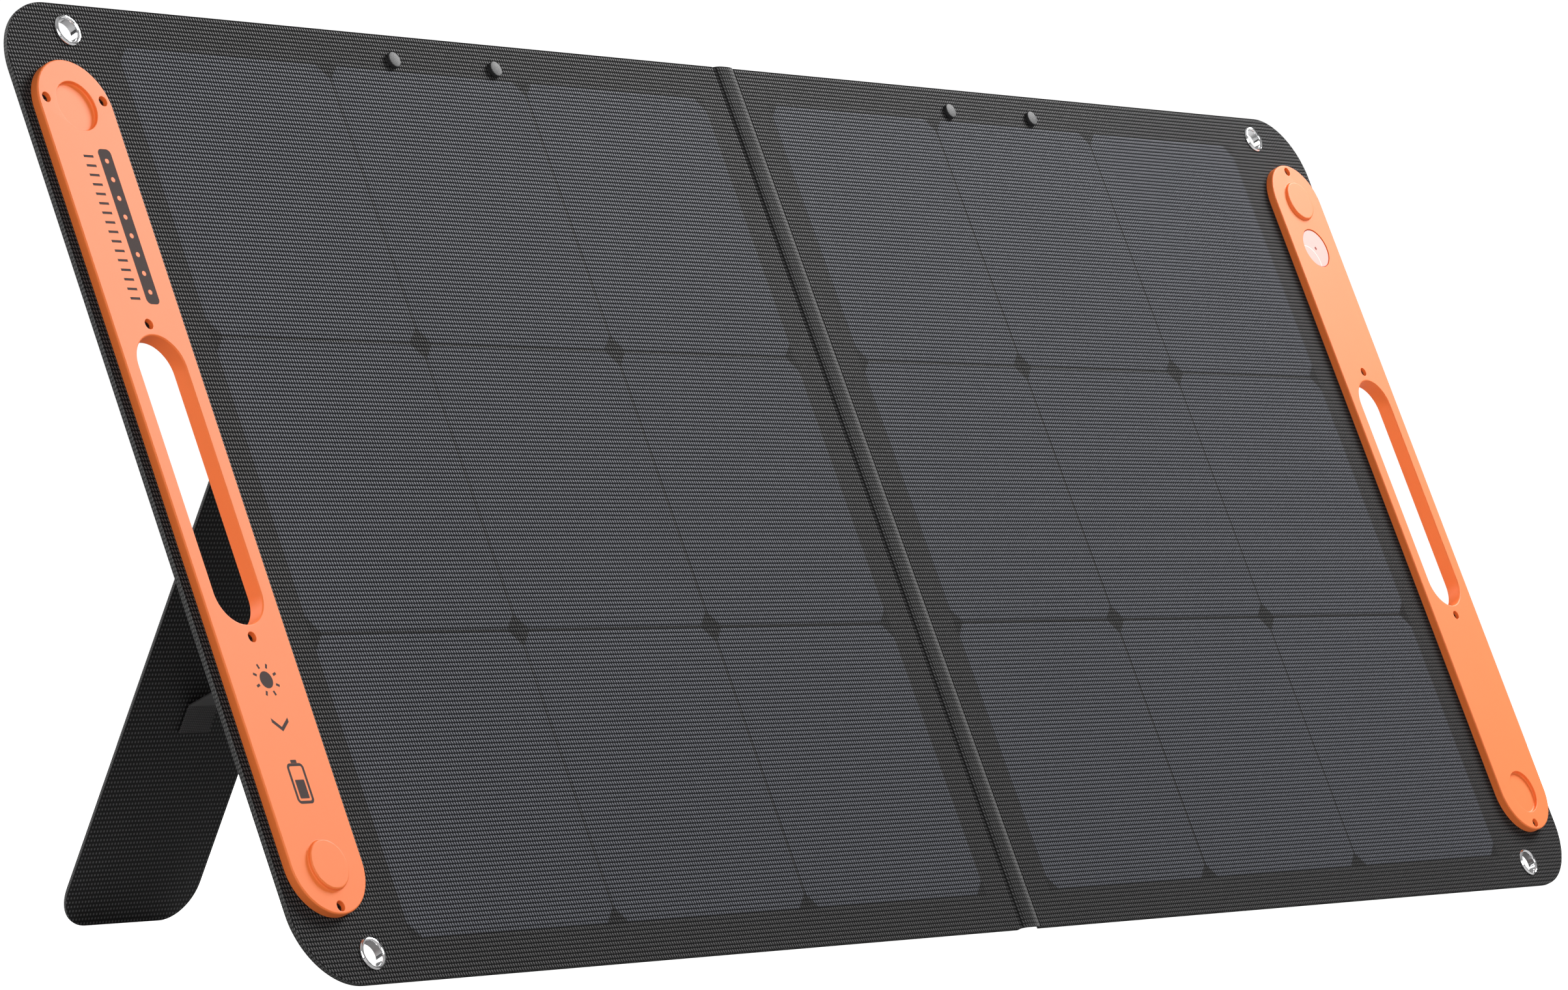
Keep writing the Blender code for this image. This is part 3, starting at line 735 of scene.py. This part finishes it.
def plate(name, place, rims, paints, body):
    """A flat-faced piece from the outlines of its edge, holes, wells and pads.

    A profile is a list of (distance into the material, height) from the top face on. It ends in the shared
    underside, in a face of its own, or open.
    """
    shape = bmesh.new()
    runs = {}
    closing = {}
    tops = []
    undersides = []
    for rim in rims:
        rings = []
        for inset, height in rim.profile:
            rings.append([shape.verts.new((*point, height)) for point in moved_in(rim.points, inset)])
        length = 0
        for index, point in enumerate(rim.points):
            length += (point - rim.points[index - 1]).length if index else 0
            for ring in rings:
                runs[ring[index]] = length
        length += (rim.points[0] - rim.points[-1]).length
        count = len(rim.points)
        for upper, lower in zip(rings, rings[1:]):
            for index in range(count):
                after = (index + 1) % count
                face = shape.faces.new((upper[index], lower[index], lower[after], upper[after]))
                if after == 0:
                    closing[face] = length
        tops.append(rings[0])
        if rim.end == "shared":
            undersides.append(rings[-1])
        elif rim.end == "cap":
            fill(shape, [rings[-1]], 1)
    fill(shape, tops, 1)
    if undersides:
        fill(shape, undersides, -1)
    map_cloth(shape, runs, closing)
    return add_piece(name, shape, place, paints, body)


def turned(name, place, profile, paint, body, steps=48, closed=False):
    """A round piece about its own w axis. The profile of (radius, w) runs down its outer side.

    A closed profile makes a ring. An open one starts and ends on the axis.
    """
    shape = bmesh.new()
    rings = []
    for radius, height in profile:
        if radius < 1e-7:
            rings.append([shape.verts.new((0, 0, height))] * steps)
            continue
        rings.append([shape.verts.new((*point, height)) for point in circle((0, 0), radius, steps)])
    pairs = list(zip(rings, rings[1:]))
    if closed:
        pairs.append((rings[-1], rings[0]))
    for upper, lower in pairs:
        for index in range(steps):
            after = (index + 1) % steps
            corners = list(dict.fromkeys((upper[index], lower[index], lower[after], upper[after])))
            if len(corners) > 2:
                shape.faces.new(corners)
    return add_piece(name, shape, place, (paint,) * 3, body, sharp=40)


def length_of(path):
    return sum((after - before).length for before, after in zip(path, path[1:]))


def swept(first, knee, last, steps):
    """Points on a curve from one point towards a knee and on to the last point. The first is left out."""
    points = []
    for step in range(1, steps + 1):
        share = step / steps
        points.append(first * (1 - share) ** 2 + knee * 2 * share * (1 - share) + last * share**2)
    return points


def ribbon(name, place, path, width, thickness, paint, steps_across):
    """A flat strip: a path of (v, w) points, as wide along u as given, with pointed selvedges."""
    shape = bmesh.new()
    cloth_places = {}
    half = thickness / 2
    section = [(-width / 2, 0), (-width / 2 + half, -half)]
    section += [(width * (step / steps_across - 0.5), -half) for step in range(1, steps_across)]
    section += [(width / 2 - half, -half), (width / 2, 0), (width / 2 - half, half)]
    section += [(width * (0.5 - step / steps_across), half) for step in range(1, steps_across)]
    section += [(-width / 2 + half, half)]
    rings = []
    run = 0
    for index, point in enumerate(path):
        before = path[max(index - 1, 0)]
        after = path[min(index + 1, len(path) - 1)]
        along = (after - before).normalized()
        square = Vector((-along.y, along.x))
        run += (point - path[index - 1]).length if index else 0
        ring = []
        for across, out in section:
            spot = point + square * out
            vertex = shape.verts.new((across, spot.x, spot.y))
            cloth_places[vertex] = (across, run)
            ring.append(vertex)
        rings.append(ring)
    count = len(section)
    for first, second in zip(rings, rings[1:]):
        for index in range(count):
            after = (index + 1) % count
            shape.faces.new((first[index], first[after], second[after], second[index]))
    shape.faces.new(rings[0][::-1])
    shape.faces.new(rings[-1])
    bmesh.ops.recalc_face_normals(shape, faces=shape.faces)
    cloth = shape.loops.layers.uv.new("cloth")
    for face in shape.faces:
        for corner in face.loops:
            corner[cloth].uv = cloth_places[corner.vert]
    return add_piece(name, shape, place, (paint,) * 3, None)


# ---------------------------------------------------------------- laminated halves

def stand_for(node):
    """Hides the CAD node that a piece takes the place of."""
    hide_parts(node)


def screw_places(label):
    """Where a handle's screws are, (u, v), from their CAD nodes."""
    count = sum(node.startswith(f"{label}_handle_screw") for node in frame["nodes"])
    places = []
    for number in range(1, count + 1):
        places.append(middle_of(f"{label}_handle_screw_{number}").xy)
    return places


def middle_of(node):
    low, high = box_in(PANEL, node)
    return (low + high) / 2


def axes_at(node):
    """The panel's axes moved along its face to the middle of a node."""
    return PANEL @ Matrix.Translation((*middle_of(node).xy, 0))


def slot_through():
    """The size of the opening that a handle's collar goes through."""
    gap = 2 * (COLLAR_WALL + PLAY)
    return SLOT_SIZE[0] + gap, SLOT_SIZE[1] + gap


def half_outline(side):
    """One half: square at the fold and rounded at the outer corners."""
    radius = CORNER_RADIUS
    centre_u = HALF_OUTER - radius
    points = [Vector((HALF_INNER, 0))]
    points += arc((centre_u, radius), radius, -90, 0, 28)
    points += arc((centre_u, PANEL_HEIGHT - radius), radius, 0, 90, 28)
    points += [Vector((HALF_INNER, PANEL_HEIGHT))]
    if side > 0:
        return points
    return [Vector((-point.x, point.y)) for point in reversed(points)]


def half_openings(label, side):
    """Every outline that goes right through a half."""
    openings = [stadium((side * HANDLE_U, HANDLE_V), slot_through())]
    for name in ("eyelet_bottom", "eyelet_top"):
        openings.append(circle(middle_of(f"{label}_{name}"), EYELET_OPENING, 40))
    for name in ("rivet_a", "rivet_b"):
        openings.append(circle(middle_of(f"{label}_{name}"), RIVET_OPENING, 20))
    for place in screw_places(label):
        openings.append(circle(place, SCREW_OPENING, 16))
    return openings


def build_half(label, side):
    """The front sheet, raised a little over each cell, and the board behind it with its rounded back edge."""
    body = f"{label}_half"
    edge = bend((SHEET_ROLL, 0), (0, -SHEET_ROLL)) + [(0, -SHEET_THICKNESS)]
    rims = [outside(half_outline(side), edge, "open")]
    rims += [hole(points, [(0, 0), (0, -SHEET_THICKNESS)], "open") for points in half_openings(label, side)]
    slope = [(0.0005, 0), (0, CELL_RISE * 0.25), (-0.0006, CELL_RISE * 0.8), (-0.0014, CELL_RISE)]
    for row in (-1, 0, 1):
        for column in (-1, 0, 1):
            centre = (side * CELL_FIELD_U + column * CELL_PITCH, CELL_FIELD_V + row * CELL_PITCH)
            rims.append(hole(cut_square(centre, CELL_HALF, CELL_CUT), slope, "cap"))
    sheet = plate(f"{label}_sheet_surface", PANEL, rims, (SHEET, EDGE, EDGE), body)
    stand_for(f"{label}_front_sheet")

    top = -SHEET_THICKNESS
    side_edge = [(0, top)] + bend((0, PANEL_BACK + BOARD_ROLL), (BOARD_ROLL, PANEL_BACK), flat_first=False)
    rims = [outside(half_outline(side), side_edge)]
    rims += [hole(points, [(0, top), (0, PANEL_BACK)]) for points in half_openings(label, side)]
    board = plate(f"{label}_board_body", PANEL, rims, (BACK, EDGE, BACK), body)
    stand_for(f"{label}_board")


# ---------------------------------------------------------------- handles and their fittings

def build_handle(label, side, recess_v, boss_v):
    """The front shell: a rounded bar with a hand slot, a closure recess and boss, and screw wells."""
    centre = (side * HANDLE_U, HANDLE_V)
    face = HANDLE_FACE
    soft = HANDLE_ROUND
    outer = bend((soft, face), (0, face - soft), steps=5) + [(0, HANDLE_BASE)]
    slot = bend((soft, face), (0, face - soft), steps=5) + [(0, COLLAR_END + 0.0004)]
    slot += [(0.0004, COLLAR_END), (COLLAR_WALL - 0.0004, COLLAR_END), (COLLAR_WALL, COLLAR_END + 0.0004)]
    slot += [(COLLAR_WALL, HANDLE_BASE)]
    recess = bend((0.0005, face), (0, face - 0.0005))
    recess += bend((0, RECESS_FLOOR + 0.0008), (-0.0008, RECESS_FLOOR), flat_first=False)
    boss = bend((0.0006, face), (0, face + 0.0006))
    boss += bend((0, BOSS_FACE - 0.0009), (-0.0009, BOSS_FACE), flat_first=False)
    well = bend((0.0003, face), (0, face - 0.0003)) + [(0, SCREW_SEAT)]
    rims = [
        outside(stadium(centre, HANDLE_SIZE, 40), outer),
        hole(stadium(centre, SLOT_SIZE, 36), slot),
        hole(circle((centre[0], recess_v), RECESS_RADIUS, 72), recess, "cap"),
        hole(circle((centre[0], boss_v), BOSS_RADIUS, 72), boss, "cap"),
    ]
    rims += [hole(circle(place, SCREW_WELL, 32), well, "cap") for place in screw_places(label)]
    if label == "right":
        dial = bend((0.0003, face), (0, face - 0.0003)) + [(0, DIAL_FLOOR)]
        rims.append(hole(circle((centre[0], DIAL_V), DIAL_RADIUS, 72), dial, "cap"))
    shell = plate(f"{label}_handle_shell", PANEL, rims, (ORANGE,) * 3, f"{label}_half")
    stand_for(f"{label}_handle")


def build_back_plate(label, side):
    """The plate behind the board that the handle's screws bite into."""
    low, high = box_in(PANEL, f"{label}_handle_back_plate")
    centre = (side * HANDLE_U, HANDLE_V)
    size = (high.x - low.x, high.y - low.y)
    soft = 0.0003
    edge = [(0, high.z)] + bend((0, low.z + soft), (soft, low.z), flat_first=False)
    rims = [outside(stadium(centre, size, 40), edge)]
    rims.append(hole(stadium(centre, slot_through(), 36), edge))
    rims += [hole(circle(place, SCREW_OPENING, 20), edge) for place in screw_places(label)]
    back = plate(f"{label}_back_plate_body", PANEL, rims, (ORANGE,) * 3, f"{label}_half")
    stand_for(f"{label}_handle_back_plate")


def cross(arm, half_width):
    """A plus-shaped outline."""
    corners = [(half_width, half_width), (half_width, arm), (-half_width, arm)]
    points = []
    for turn in range(4):
        quarter = Matrix.Rotation(math.radians(90 * turn), 2)
        points += [quarter @ Vector(corner) for corner in corners]
    return points


def build_screws(label):
    """Pan heads with a cross recess at the bottom of their wells, and a shank down into the back plate."""
    head = 0.0024
    shank = 0.0011
    for number in range(1, len(screw_places(label)) + 1):
        node = f"{label}_handle_screw_{number}"
        low, high = box_in(PANEL, node)
        top = high.z
        seat = top - 0.0010
        dome = [(0.0009, top), (0.0004, top - 0.0002), (0, top - 0.0006), (0, seat)]
        dome += [(shank, seat), (shank, low.z)]
        drive = [(0, top), (-0.0001, top - 0.0006)]
        rims = [outside(circle((0, 0), head, 32), dome), hole(cross(0.0012, 0.0003), drive, "cap")]
        screw = plate(f"{node}_head", axes_at(node), rims, (STEEL,) * 3, f"{label}_half")
        stand_for(node)


def build_eyelets(label):
    """A flanged ring rolled over on both faces."""
    inner = 0.0066
    barrel = EYELET_OPENING - PLAY
    flange = PANEL_BACK - 0.0002
    for name in ("bottom", "top"):
        node = f"{label}_eyelet_{name}"
        low, high = box_in(PANEL, node)
        rim = (high.x - low.x) / 2
        front, back = high.z, low.z
        profile = [(inner, front - 0.0013), (inner + 0.0001, front - 0.0008)]
        profile += [(inner + 0.0004, front - 0.0003), (inner + 0.0009, front)]
        profile += [(inner + 0.0014, front - 0.0001), (rim - 0.0004, front - 0.0006)]
        profile += [(rim - 0.0001, front - 0.0008), (rim, 0.0002)]
        profile += [(barrel, 0.0002), (barrel, flange), (rim, flange), (rim - 0.0003, back + 0.0002)]
        profile += [(rim - 0.0008, back), (inner + 0.0002, back + 0.0001), (inner, back + 0.0004)]
        ring = turned(f"{node}_ring", axes_at(node), profile, CHROME, f"{label}_half", 72, closed=True)
        stand_for(node)


def build_rivets(label):
    """A round post on the front and a flat tail on the back of the hinge tape."""
    shank = RIVET_OPENING - PLAY
    for name in ("a", "b"):
        node = f"{label}_rivet_{name}"
        low, high = box_in(PANEL, node)
        head = (high.x - low.x) / 2 + 0.0003
        face = high.z - 0.0010
        profile = [(0, face), (head - 0.0007, face), (head - 0.0002, face - 0.0002), (head, face - 0.0007)]
        profile += [(head, 0.0002), (shank, 0.0002), (shank, low.z + 0.0008), (0.0034, low.z + 0.0008)]
        profile += [(0.0035, low.z + 0.0003), (0.0032, low.z), (0, low.z)]
        post = turned(f"{node}_post", axes_at(node), profile, POST, f"{label}_half")
        stand_for(node)


def build_dial():
    """A frosted disc with a sighting hole over a plain target disc."""
    low, high = box_in(PANEL, "sun_dial_lens")
    radius = (high.x - low.x) / 2
    hole_radius = 0.0012
    soft = 0.0003
    profile = [(hole_radius, high.z), (radius - soft, high.z), (radius, high.z - soft), (radius, low.z)]
    profile += [(hole_radius, low.z)]
    lens = turned("sun_dial_disc", axes_at("sun_dial_lens"), profile, LENS, "right_half", 64, closed=True)
    stand_for("sun_dial_lens")


# ---------------------------------------------------------------- fold strip

def strip_shape(side, reach, rise, low_v, high_v):
    """One lengthwise half of the ridge: high at the fold, and sinking to the sheet at its outer border."""
    shape = bmesh.new()
    cloth = shape.loops.layers.uv.new("cloth")
    steps = 14
    length_steps = 40
    crown = []
    for step in range(steps + 1):
        share = step / steps
        crown.append((side * reach * share, rise * (1 - share**3) - 0.0004 * share**6))
    grid = []
    for row in range(length_steps + 1):
        v = low_v + (high_v - low_v) * row / length_steps
        top = [shape.verts.new((u, v, w)) for u, w in crown]
        under = [shape.verts.new((u, v, w - STRIP_THICKNESS)) for u, w in crown]
        grid.append((top, under))
    for (top, under), (next_top, next_under) in zip(grid, grid[1:]):
        for index in range(steps):
            shape.faces.new((top[index], top[index + 1], next_top[index + 1], next_top[index]))
            shape.faces.new((under[index], next_under[index], next_under[index + 1], under[index + 1]))
        for index in (0, steps):
            shape.faces.new((top[index], under[index], next_under[index], next_top[index]))
    for top, under in (grid[0], grid[-1]):
        for index in range(steps):
            shape.faces.new((top[index], under[index], under[index + 1], top[index + 1]))
    bmesh.ops.recalc_face_normals(shape, faces=shape.faces)
    for face in shape.faces:
        for corner in face.loops:
            corner[cloth].uv = corner.vert.co.xy
    return shape


def build_fold_strip():
    """The soft ridge in two lengthwise sheets that meet on the crest."""
    low, high = box_in(PANEL, "fold_strip")
    for label, side in SIDES:
        shape = strip_shape(side, high.x, high.z, low.y, high.y)
        strip = add_piece(f"fold_strip_{label}", shape, PANEL, (STRIP,) * 3, None)
        if side < 0:
            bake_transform(strip)
        else:
            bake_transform(strip)
        stand_for("fold_strip")


# ---------------------------------------------------------------- kickstands, tapes and straps

def build_kickstand(label):
    """A stiff fabric-covered board with a bound edge and a rounded foot."""
    place = kick_frame(label)
    low, high = box_in(place, f"{label}_kickstand_board")
    radius = KICK_FOOT_RADIUS
    outline = [Vector((low.x, high.y))]
    outline += arc((low.x + radius, low.y + radius), radius, 180, 270, 20)
    outline += arc((high.x - radius, low.y + radius), radius, 270, 360, 20)
    outline += [Vector((high.x, high.y))]
    soft = KICK_ROUND
    edge = bend((soft, high.z), (0, high.z - soft)) + bend((0, low.z + soft), (soft, low.z), flat_first=False)
    paints = (KICK, BINDING, KICK)
    board = plate(f"{label}_kickstand_cover", place, [outside(outline, edge)], paints, f"{label}_kickstand")
    stand_for(f"{label}_kickstand_board")


def kick_lines(label):
    """The hinge, the way down the open kickstand and the way to the panel, as (v, w), and the turn."""
    hinge = PANEL.inverted() @ kick_frame(label).to_translation()
    opening = math.radians(JOINTS[f"{label}_kickstand_hinge"]["range_deg"][1])
    down = Vector((-math.cos(opening), -math.sin(opening)))
    towards = Vector((-math.sin(opening), math.cos(opening)))
    return hinge.yz, down, towards, opening


def build_tape(label):
    """Hinge tape: flat on the panel's back, round the hinge line, and down the kickstand's inner face."""
    low, high = box_in(PANEL, f"{label}_hinge_tape")
    centre_u = (low.x + high.x) / 2
    width = high.x - low.x
    pin, down, towards = kick_lines(label)[:3]
    level = PANEL_BACK - PLAY - TAPE_THICKNESS / 2
    lift_off = pin.x - 0.002
    path = [Vector((low.y + (lift_off - low.y) * step / 6, level)) for step in range(7)]
    landing = pin + down * 0.0030 + towards * 0.0007
    path += swept(path[-1], pin + Vector((0.0012, 0.0004)), landing, 8)
    path += [landing + down * 0.002 * step for step in range(1, 6)]
    place = PANEL @ Matrix.Translation((centre_u, 0, 0))
    tape = ribbon(f"{label}_tape_cloth", place, path, width, TAPE_THICKNESS, KICK, 8)
    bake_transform(tape)
    stand_for(f"{label}_hinge_tape")
    length_of(path)


def build_strap(label):
    """Webbing that holds a kickstand open, made as short lengths down its way."""
    node = f"{label}_stay_strap"
    low, high = box_in(PANEL, node)
    centre_u = (low.x + high.x) / 2
    width = high.x - low.x
    pin, down, towards, opening = kick_lines(label)
    clear = PLAY + STRAP_THICKNESS / 2
    top = PANEL_BACK - clear
    foot = pin + down * STRAP_FOOT + towards * clear
    strap_v = pin.x + down.x * STRAP_FOOT
    place = PANEL @ Matrix.Translation((centre_u, 0, 0))

    def height(share):
        """The w of the open strap at this share of its way down, so that it closes level with its top."""
        turn = opening * share * share * (3 - 2 * share)
        level = top - STRAP_BEND - pin.y
        return pin.y + (level + (strap_v - pin.x) * math.sin(turn)) / math.cos(turn)

    sewn = [Vector((strap_v + 0.020 - 0.002 * step, top)) for step in range(10)]
    sewn += arc((strap_v + STRAP_BEND, top - STRAP_BEND), STRAP_BEND, 90, 170, 8)
    tail = foot + down * 0.006
    landed = swept(Vector((strap_v, height(1))), foot, tail, 8)
    landed += [tail + down * 0.002 * step for step in range(1, 6)]

    for number in range(STRAP_LENGTHS):
        first = height(number / STRAP_LENGTHS)
        pace = height((number + 1) / STRAP_LENGTHS) - first
        path = [Vector((strap_v, first + pace * step / 4)) for step in range(5)]
        if number == 0:
            path = sewn + path
        if number == STRAP_LENGTHS - 1:
            path += landed
        piece = ribbon(f"{label}_strap_length_{number + 1}", place, path, width, STRAP_THICKNESS, WEBBING, 6)
        still = PANEL @ Vector((centre_u, strap_v, first - pace * number))
        moving = PANEL @ Vector((centre_u, strap_v, first + pace * (STRAP_LENGTHS - number)))
        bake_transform(piece)
        stand_for(node)
        length_of(path)


# ---------------------------------------------------------------- junction box and socket

def build_junction_box():
    """A shallow moulded box with a stepped lid, on the panel's back."""
    low, high = box_in(PANEL, "junction_box")
    place = PANEL @ Matrix.Rotation(math.pi, 4, "Y")
    corner = 0.006
    width, height = high.x - low.x, high.y - low.y
    centre = (-(low.x + high.x) / 2, (low.y + high.y) / 2)
    points = []
    for side_u, side_v, start in ((1, 1, 0), (-1, 1, 90), (-1, -1, 180), (1, -1, 270)):
        middle = (centre[0] + side_u * (width / 2 - corner), centre[1] + side_v * (height / 2 - corner))
        points += arc(middle, corner, start, start + 90, 10)
    face = -low.z
    base = -high.z
    edge = bend((0.0024, face), (0.0010, face - 0.0014), steps=5)
    edge += [(0.0008, face - 0.0030), (0.0014, face - 0.0031)]
    edge += [(0.0014, face - 0.0037), (0, face - 0.0038), (0, base)]
    box = plate("junction_box_body", place, [outside(points, edge)], (BLACK,) * 3, "left_half")
    stand_for("junction_box")


def build_socket():
    """The round output socket that sticks out of the junction box's side."""
    low, high = box_in(PANEL, "output_socket")
    centre = (low + high) / 2
    outer = (high.z - low.z) / 2
    neck = outer - 0.0004
    length = high.x - low.x
    bore = 0.0042
    bore_end = 0.0021
    profile = [(0, bore_end), (bore, bore_end), (bore, length - 0.0003), (bore + 0.0003, length)]
    profile += [(neck, length), (outer, length - 0.0004), (outer, length - 0.0030)]
    profile += [(neck, length - 0.0034), (neck, length - 0.0044), (outer, length - 0.0048)]
    profile += [(outer, 0.0001), (0, 0)]
    place = PANEL @ Matrix.Translation((low.x, centre.y, centre.z)) @ Matrix.Rotation(math.pi / 2, 4, "Y")
    socket = turned("output_socket_body", place, profile, BLACK, "left_half")
    stand_for("output_socket")


def repaint(node, paint):
    """A CAD node that keeps its shape gets a finished material."""
    mesh = frame["nodes"][node].data
    mesh.materials.clear()
    mesh.materials.append(paint)


for label, side in SIDES:
    recess_v, boss_v = (CLOSURE_HIGH_V, CLOSURE_LOW_V) if side < 0 else (CLOSURE_LOW_V, CLOSURE_HIGH_V)
    build_half(label, side)
    build_handle(label, side, recess_v, boss_v)
    build_back_plate(label, side)
    build_screws(label)
    build_eyelets(label)
    build_rivets(label)
    build_kickstand(label)
    build_tape(label)
    build_strap(label)
    for row in (1, 2, 3):
        for column in (1, 2, 3):
            repaint(f"{label}_cell_row{row}_column{column}", WAFER)
    repaint(f"{label}_closure_keeper", DARK_METAL)
    repaint(f"{label}_closure_magnet", DARK_METAL)

build_fold_strip()
build_junction_box()
build_socket()
build_dial()
# The target's near-black colour is painted shade for the sighting hole.
repaint("sun_dial_target", DIAL)
